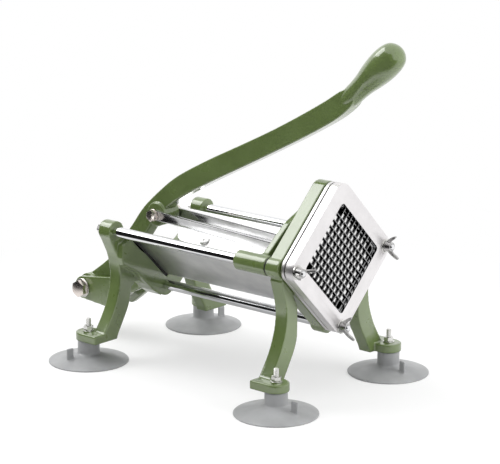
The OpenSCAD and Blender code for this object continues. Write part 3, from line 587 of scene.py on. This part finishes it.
last, inner = pegs["cells"] - 1, pegs["cells"] - 2
rows = [(1, inner, 0, 1), (0, pegs["cells"], 1, inner), (1, inner, last, 1)]
for start, count, row, rowCount in rows:
    y = (start - last / 2) * pegs["pitch"] - pegs["width"] / 2
    z = (row - last / 2) * pegs["pitch"] - pegs["width"] / 2
    peg = boxPiece("peg", (low[0] + pegs["plateThick"] - pegs["overlap"], y, z),
                   (high[0], y + pegs["width"], z + pegs["width"]))
    bevelEdges(peg, pegs["edge"], 2)
    arrayAlong(peg, (0, pegs["pitch"], 0), count)
    arrayAlong(peg, (0, 0, pegs["pitch"]), rowCount)
    joinPieces(block, [peg])
pickOnly(block)
bpy.ops.object.mode_set(mode="EDIT")
bpy.ops.mesh.select_all(action="SELECT")
bpy.ops.transform.rotate(value=diagonal, orient_axis="X", center_override=(0, 0, 0))
bpy.ops.transform.translate(value=(0, 0, rodHeight))
bpy.ops.object.mode_set(mode="OBJECT")
finishPiece(block, "pusher", pegWhite, ["pusher_block"])
print("peg block made", len(block.data.polygons))


# Guide rods with threaded ends: each one's name and the place of its rear shoulder
rodLook = {"radius": 0.006, "thread": 0.003, "chamfer": 0.0006, "pitch": 0.001, "depth": 0.0003,
           "threadLength": 0.0075, "steps": 40}
rodShoulders = {"guide_rod_left": ("guideRodLeft", -0.108274),
                "guide_rod_right": ("guideRodRight", -0.108274),
                "guide_rod_bottom": ("guideRodBottom", -0.102274)}
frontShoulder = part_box("front_casting")[0][0]
r, t, c = rodLook["radius"], rodLook["thread"], rodLook["chamfer"]
pitch, depth, threaded = rodLook["pitch"], rodLook["depth"], rodLook["threadLength"]
for node, (name, shoulder) in rodShoulders.items():
    low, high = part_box(node)
    middle = centreOf(node)
    back, front = low[0], high[0]
    profile = [(0, back), (t - c, back), (t, back + c)]
    profile += threadSteps(t, back + c, back + c + threaded, pitch, depth)
    profile += [(t, shoulder), (r - c, shoulder), (r, shoulder + c), (r, frontShoulder - c),
                (r - c, frontShoulder), (t, frontShoulder)]
    profile += threadSteps(t, front - c - 2 * threaded, front - c, pitch, depth)
    profile += [(t - c, front), (0, front)]
    rod = spunPiece(name, profile, "x", (0, middle[1], middle[2]), rodLook["steps"])
    finishPiece(rod, "frame", chromeSteel, [node])
print("guide rods made")


# Washers and nuts of the rods, each kind modelled once and copied to its places
low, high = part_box("rod_washers")
rods = [centreOf(node) for node in rodShoulders]
washerLook = {"outer": 0.0078, "bore": 0.0032, "thick": 0.0012, "rim": 0.00025}
washer = ringPiece("rodWasher", washerLook, "x", (low[0], rods[0][1], rods[0][2]))
ends = (0, high[0] - washerLook["thick"] - low[0])
places = [(x, rod[1] - rods[0][1], rod[2] - rods[0][2]) for x in ends for rod in rods][1:]
finishPiece(setOfPieces(washer, places, "rodWashers"), "frame", zincSteel, ["rod_washers"])

nutLook = {"flats": 0.013, "height": 0.006, "chamfer": 0.0006, "bore": 0.0029}
nut = nutPiece("rodNut", nutLook, "x", (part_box("rod_rear_nuts")[0][0], rods[0][1], rods[0][2]))
places = [(0, rod[1] - rods[0][1], rod[2] - rods[0][2]) for rod in rods][1:]
finishPiece(setOfPieces(nut, places, "rodRearNuts"), "frame", zincSteel, ["rod_rear_nuts"])
print("rod fasteners made")


# Foot studs, nuts and washers
studLook = {"radius": 0.003, "chamfer": 0.0005, "pitch": 0.001, "depth": 0.0003, "lead": 0.0002,
            "steps": 32}
footNutLook = {"flats": 0.010, "height": 0.005, "chamfer": 0.0005, "bore": 0.0029, "spin": 30}
footWasherLook = {"outer": 0.0065, "bore": 0.0031, "thick": 0.0012, "rim": 0.0002}
low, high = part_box("foot_studs")
t, c, nutLow = studLook["radius"], studLook["chamfer"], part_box("foot_nuts")[0][2]
feet = [(x, y) for x in (high[0] - t, low[0] + t) for y in (low[1] + t, high[1] - t)]
shifts = [(x - feet[0][0], y - feet[0][1], 0) for x, y in feet][1:]
profile = [(0, low[2]), (t, low[2]), (t, nutLow)]
profile += threadSteps(t, nutLow + studLook["lead"], high[2] - c, studLook["pitch"], studLook["depth"])
profile += [(t - c, high[2]), (0, high[2])]
stud = spunPiece("footStud", profile, "z", (*feet[0], 0), studLook["steps"])
finishPiece(setOfPieces(stud, shifts, "footStuds"), "frame", zincSteel, ["foot_studs"])
nut = nutPiece("footNut", footNutLook, "z", (*feet[0], nutLow))
finishPiece(setOfPieces(nut, shifts, "footNuts"), "frame", zincSteel, ["foot_nuts"])
washer = ringPiece("footWasher", footWasherLook, "z", (*feet[0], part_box("foot_washers")[0][2]))
finishPiece(setOfPieces(washer, shifts, "footWashers"), "frame", zincSteel, ["foot_washers"])
print("foot fasteners made")


# Cross bolts of the lever, the links and the pusher
boltLook = {
    "pivot": {"body": "frame", "flats": 0.018, "head": 0.0075, "inset": 0, "nut": 0.009, "shaft": 0.006,
              "chamfer": 0.0011, "flange": 0},
    "lever_link": {"body": "lever_arm", "flats": 0.012, "head": 0.0055, "inset": 0, "nut": 0.006,
                   "shaft": 0.004, "chamfer": 0.0008, "flange": 0.0072},
    "pusher_link": {"body": "pusher", "flats": 0.012, "head": 0.0025, "inset": 0.003, "nut": 0.006,
                    "shaft": 0.004, "chamfer": 0.0005, "flange": 0},
}
boltFit = {"overlap": 0.0002, "tip": 0.0006, "flangeThick": 0.0009, "flangeRim": 0.0003, "grip": 0.0001,
           "steps": 40}
for kind, look in boltLook.items():
    node = kind + "_bolt"
    low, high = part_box(node)
    middle = centreOf(node)
    label = kind.replace("_link", "Link")
    seat = low[1] + look["head"] + look["inset"]
    head = placeAlong(hexPiece(label + "Head", look["flats"], look["head"], look["chamfer"]), "-y",
                      (middle[0], seat, middle[2]))
    start, radius, tip, steps = seat - boltFit["overlap"], look["shaft"], boltFit["tip"], boltFit["steps"]
    profile = [(0, start), (radius, start), (radius, high[1] - tip), (radius - tip, high[1]), (0, high[1])]
    cutWith(head, spunPiece(label + "Shaft", profile, "y", (middle[0], 0, middle[2]), steps), "UNION")
    if look["flange"]:
        wide, thick, rim = look["flange"], boltFit["flangeThick"], boltFit["flangeRim"]
        profile = [(0, -thick), (wide - rim, -thick), (wide, -thick + rim), (wide, 0), (0, 0)]
        cutWith(head, spunPiece(label + "Flange", profile, "y", (middle[0], seat, middle[2]), steps), "UNION")
    head.name = label + "Bolt"
    finishPiece(head, look["body"], nickelSteel, [node])
    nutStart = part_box(kind + "_nut")[0][1]
    crossNut = {"flats": look["flats"], "height": look["nut"], "chamfer": look["chamfer"],
                "bore": look["shaft"] - boltFit["grip"]}
    nut = nutPiece(label + "Nut", crossNut, "y", (middle[0], nutStart, middle[2]))
    finishPiece(nut, look["body"], nickelSteel, [kind + "_nut"])
print("cross bolts made")

low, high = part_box("pivot_washers")
pivotWasherLook = {"outer": 0.0115, "bore": 0.0062, "thick": 0.0018, "rim": 0.0004}
place = ((low[0] + high[0]) / 2, low[1], (low[2] + high[2]) / 2)
washer = ringPiece("pivotWasher", pivotWasherLook, "y", place)
across = (0, high[1] - low[1] - pivotWasherLook["thick"], 0)
washers = setOfPieces(washer, [across], "pivotWashers")
finishPiece(washers, "frame", zincSteel, ["pivot_washers"])


# Plastic bushes in the carriage's sleeves, with a thin black flange at the front that is painted shade for
# the dark gap before the ring boss
sleeveLook = {"outer": 0.00765, "bore": 0.00608, "flange": 0.0104, "flangeThick": 0.0014, "rim": 0.0003}
low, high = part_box("sleeve_bushes")
outer, bore, rim = sleeveLook["outer"], sleeveLook["bore"], sleeveLook["rim"]
front = high[0] + sleeveLook["flangeThick"]
profile = [(bore, low[0]), (outer, low[0]), (outer, high[0]), (sleeveLook["flange"] - rim, high[0]),
           (sleeveLook["flange"], high[0] + rim), (sleeveLook["flange"], front - rim),
           (sleeveLook["flange"] - rim, front), (bore, front)]
bush = spunPiece("sleeveBush", profile, "x", (0, rods[0][1], rods[0][2]), closed=True)
bushes = setOfPieces(bush, [(0, rods[1][1] - rods[0][1], 0)], "sleeveBushes")
finishPiece(bushes, "pusher", blackPlasticAndShade, ["sleeve_bushes"])


# Socket screws behind the pusher block
screwLook = {"head": 0.0046, "headHeight": 0.003, "body": 0.0025, "chamfer": 0.0004, "socket": 0.004,
             "depth": 0.0018, "past": 0.001, "socketEdge": 0.0001, "steps": 32}
low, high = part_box("pusher_screws")
middle = centreOf("pusher_screws")
wide, h, c, body = screwLook["head"], screwLook["headHeight"], screwLook["chamfer"], screwLook["body"]
spots = [(low[1] + wide, middle[2]), (high[1] - wide, middle[2]), (middle[1], low[2] + wide),
         (middle[1], high[2] - wide)]
profile = [(0, 0), (wide - c, 0), (wide, c), (wide, h), (body, h), (body, high[0] - low[0]),
           (0, high[0] - low[0])]
screw = spunPiece("pusherScrew", profile, "x", (low[0], *spots[0]), screwLook["steps"])
socket = hexPiece("socket", screwLook["socket"], screwLook["depth"] + screwLook["past"],
                  screwLook["socketEdge"])
cutWith(screw, placeAlong(socket, "x", (low[0] - screwLook["past"], *spots[0])))
places = [(0, y - spots[0][0], z - spots[0][1]) for y, z in spots][1:]
finishPiece(setOfPieces(screw, places, "pusherScrews"), "pusher", zincSteel, ["pusher_screws"])
print("pusher fittings made")


# Suction cups: a spun bell with its post, and a rounded release tab turned by each cup's angle
cupLook = {"radius": 0.0464, "rim": 0.0018, "hollow": 0.003, "rimWidth": 0.003, "rimLift": 0.0001,
           "height": 0.0095, "post": 0.0126, "flare": 1.06, "flareLow": 0.0006, "flareHigh": 0.0022,
           "lip": 0.0005, "bore": 0.00305, "stud": 0.016, "voxel": 0.0007, "rounds": 3, "steps": 96}
dome = ((0, 1), (0.5, 0.9), (0.8, 0.55))        # shares of the radius and of the hollow's height
bell = ((0.93, 0.30), (0.8, 0.46), (0.68, 0.60), (0.55, 0.73), (0.42, 0.86), (0.34, 0.96))
tabLook = {"in": 0.0215, "length": 0.009, "thick": 0.0026, "top": 0.0195, "sunk": 0.0008, "edge": 0.0011}
cups = {"suction_cup_front_right": ("cupFrontRight", 0), "suction_cup_front_left": ("cupFrontLeft", -15),
        "suction_cup_rear_right": ("cupRearRight", -100), "suction_cup_rear_left": ("cupRearLeft", 75)}
for node, (name, angle) in cups.items():
    middle = centreOf(node)
    r, h, post, top = cupLook["radius"], cupLook["height"], cupLook["post"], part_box(node)[1][2]
    hollow, lip, bore, stud = cupLook["hollow"], cupLook["lip"], cupLook["bore"], cupLook["stud"]
    profile = [(r * a, hollow * b) for a, b in dome]
    profile += [(r - cupLook["rimWidth"], cupLook["rimLift"]), (r, 0), (r, cupLook["rim"])]
    profile += [(r * a, h * b) for a, b in bell]
    profile += [(post * cupLook["flare"], h + cupLook["flareLow"]), (post, h + cupLook["flareHigh"]),
                (post, top - lip), (post - lip, top), (bore, top), (bore, stud), (0, stud)]
    cup = spunPiece(name, profile, "z", (0, 0, 0), cupLook["steps"])
    deselectAll()
    tabHeight = tabLook["top"] - hollow - tabLook["sunk"]
    bpy.ops.mesh.primitive_cube_add(size=1, location=(tabLook["in"] + tabLook["length"] / 2, 0,
                                                      tabLook["top"] - tabHeight / 2),
                                    scale=(tabLook["length"], tabLook["thick"], tabHeight))
    tab = bpy.context.object
    settle(tab)
    bevelEdges(tab, tabLook["edge"], 3)
    cutWith(cup, tab, "UNION")
    pickOnly(cup)
    bpy.ops.object.mode_set(mode="EDIT")
    bpy.ops.mesh.select_all(action="SELECT")
    bpy.ops.transform.rotate(value=-angle * turn, orient_axis="Z", center_override=(0, 0, 0))
    bpy.ops.transform.translate(value=(middle[0], middle[1], 0))
    bpy.ops.object.mode_set(mode="OBJECT")
    castSoft(cup, cupLook["voxel"], cupLook["rounds"])
    finishPiece(cup, "frame", greyVinyl, [node], "castShade")
    print("suction cup", cup.name, len(cup.data.polygons))


# Round rivet head inside the trough's far wall
rivetLook = {"radius": 0.0062, "height": 0.0014, "dimple": 0.0016, "dimpleRim": 0.0004, "dimpleDepth": 0.0008,
             "sunk": 0.0006, "foot": 0.0002, "along": -0.0752, "side": 0.03575, "above": 0.0021, "steps": 32}
crown = ((0.86, 0.75), (0.6, 1))        # shares of the radius and of the height
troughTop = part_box("trough")[1]
rivetZ = troughTop[2] - troughTop[1] + rivetLook["side"] + rivetLook["above"]
r, h, dimple = rivetLook["radius"], rivetLook["height"], rivetLook["dimple"]
floorOfDimple = h - rivetLook["dimpleDepth"]
profile = [(0, -rivetLook["sunk"]), (r, -rivetLook["sunk"]), (r, rivetLook["foot"])]
profile += [(r * a, h * b) for a, b in crown]
profile += [(dimple + rivetLook["dimpleRim"], h), (dimple, floorOfDimple), (0, floorOfDimple)]
rivet = spunPiece("troughRivet", profile, steps=rivetLook["steps"])
pickOnly(rivet)
rivet.rotation_euler = (diagonal, 0, 0)
rivet.location = (rivetLook["along"], rivetLook["side"], rivetZ)
settle(rivet)
finishPiece(rivet, "frame", troughSteel)
print("trough rivet made")


# Wing nuts
wingLook = {"voxel": 0.0003, "rounds": 5}
for node, body in (("wing_nut_left", "left_wing_nut"), ("wing_nut_right", "right_wing_nut"),
                   ("wing_nut_bottom", "bottom_wing_nut")):
    piece = castSoft(mergedCopy(node, node.replace("_nut", "Nut").replace("_", "")), wingLook["voxel"],
                     wingLook["rounds"])
    finishPiece(piece, body, wingMetal, [node], "castShade")
print("wing nuts made")


# CAD nodes whose meshes stay as they are
kept = {"blades_rising": bladeSteelPaintedShade, "blades_falling": bladeSteelPaintedShade, "pivot_bush": bronzeMetal}
for node, material in kept.items():
    slots = nodes[node].material_slots
    for entry in slots:
        entry.material = material
    if not slots:
        nodes[node].data.materials.append(material)


# Floor, sky and lamps
studio = {"floorSize": 14, "floorColour": (0.86, 0.86, 0.86), "floorRough": 0.9, "floorShine": 0.1,
          "nearFade": 0.20, "farFade": 0.60, "shadowLift": 0.42, "ambient": 0.50}
darkness = {"level": 0.012, "from": 0.27, "to": 0.44, "sideFrom": 0.0, "sideTo": 0.2, "underFrom": 0.34,
            "underTo": 0.12, "underShare": 0.46, "towards": (-0.2, -0.98, 0), "bandFrom": 0.28,
            "bandTo": 0.48, "bandTop": 0.72, "bandFull": 0.64}      # what metal mirrors: a dark side of the room, and painted shadow on the floor beneath the object
softboxes = {
    "roofBox": {"place": (-0.15, -0.1, 1.35), "target": (-0.15, -0.1, 0), "size": (2.2, 2.2), "level": 1.3,
                "mirrored": False},
    "sideBox": {"place": (1.4, 0.50, 0.60), "target": (0.05, 0, 0.15), "size": (0.9, 0.8), "level": 5.0,
                "mirrored": False},
    "topBox": {"place": (-0.95, -0.42, 1.25), "target": (0.05, 0, 0.15), "size": (1.0, 1.0), "level": 3.6,
               "mirrored": True},
}


def rise(tree, source, start, end):
    node = addNode(tree, "ShaderNodeMapRange", interpolation_type="SMOOTHSTEP")
    node.inputs["From Min"].default_value = start
    node.inputs["From Max"].default_value = end
    tree.links.new(source, node.inputs["Value"])
    return node.outputs["Result"]


def mathOf(tree, operation, first, second):
    node = addNode(tree, "ShaderNodeMath", operation=operation)
    tree.links.new(first, node.inputs[0])
    tree.links.new(second, node.inputs[1])
    return node.outputs["Value"]


def mixShaders(tree, factor, first, second):
    node = addNode(tree, "ShaderNodeMixShader")
    tree.links.new(factor, node.inputs["Fac"])
    tree.links.new(first, node.inputs[1])
    tree.links.new(second, node.inputs[2])
    return node.outputs["Shader"]


def plainGlow(tree, kind, colour, strength=1.0):        # an emission or a background of one colour
    node = addNode(tree, kind)
    node.inputs["Color"].default_value = (*colour, 1)
    node.inputs["Strength"].default_value = strength
    return node.outputs[0]


deselectAll()
bpy.ops.mesh.primitive_plane_add(size=studio["floorSize"], location=(0, 0, 0))
floor = bpy.context.object
floor.name = "floor"
material, tree, shader = startMaterial("floorPaper")
shader.inputs["Base Color"].default_value = (*studio["floorColour"], 1)
shader.inputs["Roughness"].default_value = studio["floorRough"]
shader.inputs["Specular IOR Level"].default_value = studio["floorShine"]
place = addNode(tree, "ShaderNodeTexCoord")
parts = addNode(tree, "ShaderNodeSeparateXYZ")
far = addNode(tree, "ShaderNodeVectorMath", operation="LENGTH")
tree.links.new(place.outputs["Object"], parts.inputs["Vector"])
tree.links.new(place.outputs["Object"], far.inputs[0])
path = addNode(tree, "ShaderNodeLightPath")
white = plainGlow(tree, "ShaderNodeEmission", (1, 1, 1))
dark = plainGlow(tree, "ShaderNodeEmission", (darkness["level"],) * 3)
lift = rise(tree, far.outputs["Value"], studio["nearFade"], studio["farFade"])
lift.node.inputs["To Min"].default_value = studio["shadowLift"]
seen = mathOf(tree, "MAXIMUM", path.outputs["Is Camera Ray"], path.outputs["Is Glossy Ray"])
lifted = mixShaders(tree, mathOf(tree, "MULTIPLY", lift, seen), shader.outputs["BSDF"], white)
nearSide = addNode(tree, "ShaderNodeMath", operation="MULTIPLY")
tree.links.new(parts.outputs["Y"], nearSide.inputs[0])
nearSide.inputs[1].default_value = -1
# painted shadow: to glossy rays the floor beneath the object is dimmed
floorShadowPaint = rise(tree, far.outputs["Value"], darkness["underFrom"], darkness["underTo"])
floorShadowPaint.node.inputs["To Max"].default_value = darkness["underShare"]
beside = mathOf(tree, "MULTIPLY", rise(tree, far.outputs["Value"], darkness["from"], darkness["to"]),
                rise(tree, nearSide.outputs["Value"], darkness["sideFrom"], darkness["sideTo"]))
darkSideAndShadow = mathOf(tree, "MULTIPLY", mathOf(tree, "MAXIMUM", floorShadowPaint, beside), path.outputs["Is Glossy Ray"])
tree.links.new(mixShaders(tree, darkSideAndShadow, lifted, dark), tree.nodes["Material Output"].inputs["Surface"])
floor.data.materials.append(material)

world = bpy.data.worlds.new("studioSky")
bpy.context.scene.world = world
world.use_nodes = True
tree = world.node_tree
tree.nodes.clear()
place = addNode(tree, "ShaderNodeTexCoord")
parts = addNode(tree, "ShaderNodeSeparateXYZ")
tree.links.new(place.outputs["Generated"], parts.inputs["Vector"])
towardsDark = addNode(tree, "ShaderNodeVectorMath", operation="DOT_PRODUCT")
tree.links.new(place.outputs["Generated"], towardsDark.inputs[0])
towardsDark.inputs[1].default_value = darkness["towards"]
sideways = rise(tree, towardsDark.outputs["Value"], darkness["bandFrom"], darkness["bandTo"])
notAbove = rise(tree, parts.outputs["Z"], darkness["bandTop"], darkness["bandFull"])
band = mathOf(tree, "MULTIPLY", sideways, notAbove)
skyMix = addNode(tree, "ShaderNodeMix", data_type="RGBA")
skyMix.inputs["A"].default_value = (1, 1, 1, 1)
skyMix.inputs["B"].default_value = (darkness["level"],) * 3 + (1,)
tree.links.new(band, skyMix.inputs["Factor"])
path = addNode(tree, "ShaderNodeLightPath")
glossSky = addNode(tree, "ShaderNodeBackground")
tree.links.new(skyMix.outputs["Result"], glossSky.inputs["Color"])
softSky = plainGlow(tree, "ShaderNodeBackground", (1, 1, 1), studio["ambient"])
whiteSky = plainGlow(tree, "ShaderNodeBackground", (1, 1, 1))
lightSky = mixShaders(tree, path.outputs["Is Glossy Ray"], softSky, glossSky.outputs["Background"])
output = addNode(tree, "ShaderNodeOutputWorld")
tree.links.new(mixShaders(tree, path.outputs["Is Camera Ray"], lightSky, whiteSky), output.inputs["Surface"])

for name, look in softboxes.items():
    width, height = look["size"]
    lamp = bpy.data.lights.new(name, "AREA")
    lamp.shape = "RECTANGLE"
    lamp.size = width
    lamp.size_y = height
    lamp.energy = look["level"] * math.pi * width * height
    box = bpy.data.objects.new(name, lamp)
    bpy.context.scene.collection.objects.link(box)
    box.location = Vector(look["place"])
    box.rotation_euler = (Vector(look["place"]) - Vector(look["target"])).to_track_quat("Z", "Y").to_euler()
    box.visible_camera = False
    box.visible_glossy = look["mirrored"]       # where false, metal mirrors the plain sky and not the lamp


# Camera
view = {"place": (1.5401, -1.7262, 0.7329), "turn": 41.24, "height": 13.97, "roll": 0.16, "lens": 151.6,
        "sensor": 36, "near": 0.05, "far": 60}
lensData = bpy.data.cameras.new("camera")
lensData.sensor_width = view["sensor"]
lensData.lens = view["lens"]
lensData.clip_start = view["near"]
lensData.clip_end = view["far"]
camera = bpy.data.objects.new("camera", lensData)
bpy.context.scene.collection.objects.link(camera)
aim = (Matrix.Rotation(view["turn"] * turn, 4, "Z") @ Matrix.Rotation((90 - view["height"]) * turn, 4, "X")
       @ Matrix.Rotation(view["roll"] * turn, 4, "Z"))
camera.matrix_world = Matrix.Translation(view["place"]) @ aim
bpy.context.scene.camera = camera

bpy.context.scene.view_settings.view_transform = "Standard"
print("studio made")
